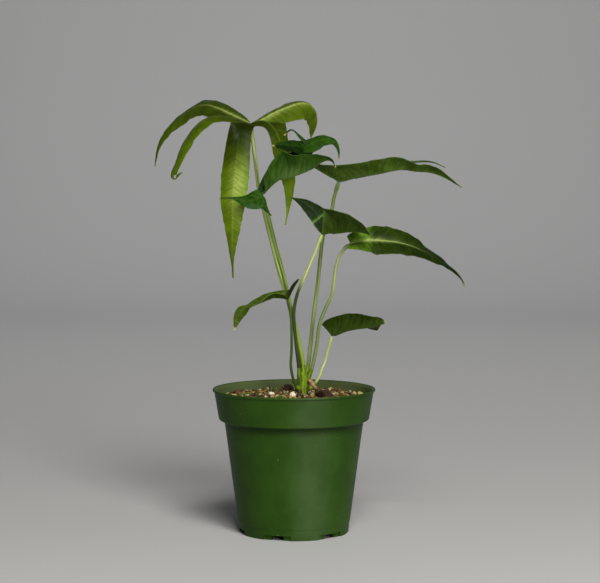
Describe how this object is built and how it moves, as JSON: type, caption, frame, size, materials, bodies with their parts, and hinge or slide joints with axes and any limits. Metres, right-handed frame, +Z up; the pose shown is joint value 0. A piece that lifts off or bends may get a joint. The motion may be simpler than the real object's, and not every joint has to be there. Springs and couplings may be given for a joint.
{
  "type": "potted lobed anthurium plant",
  "caption": "Young anthurium with long-stalked, deeply lobed glossy leaves over a bark mix in a round green tapered nursery pot with a stepped rim band.",
  "frame": {"origin": "centre of the pot's base, on the plane that the pot stands on", "axes": "+Z up along the pot's axis, -Y the front of the plant, +X to the right seen from the front"},
  "size_m": [0.2012, 0.105, 0.2793],
  "materials": {
    "pot_green": "semi-matte moulded",
    "potting_mix": "rough bark and pumice mix",
    "crown_green": "living plant tissue, waxy",
    "root_brown": "dry aerial root",
    "stalk_a": "living plant tissue, waxy",
    "stalk_b": "living plant tissue, waxy",
    "stalk_c": "living plant tissue, waxy",
    "stalk_d": "living plant tissue, waxy",
    "stalk_e": "living plant tissue, waxy",
    "stalk_f": "living plant tissue, waxy",
    "stalk_g": "living plant tissue, waxy",
    "blade_a": "living leaf, glossy",
    "blade_b": "living leaf, glossy",
    "blade_c": "living leaf, glossy",
    "blade_d": "living leaf, glossy",
    "blade_e": "living leaf, glossy",
    "blade_f": "living leaf, glossy",
    "blade_g": "living leaf, glossy"
  },
  "bodies": {
    "root": {"pot": "pot_green", "potting_mix": "potting_mix", "crown": "crown_green", "root_right": "root_brown", "root_front": "root_brown", "stalk_a": "stalk_a", "stalk_b": "stalk_b", "stalk_c": "stalk_c", "stalk_d": "stalk_d", "stalk_e": "stalk_e", "stalk_f": "stalk_f", "stalk_g": "stalk_g", "blade_a": "blade_a", "blade_b": "blade_b", "blade_c": "blade_c", "blade_d": "blade_d", "blade_e": "blade_e", "blade_f": "blade_f", "blade_g": "blade_g"}
  },
  "joints": []
}
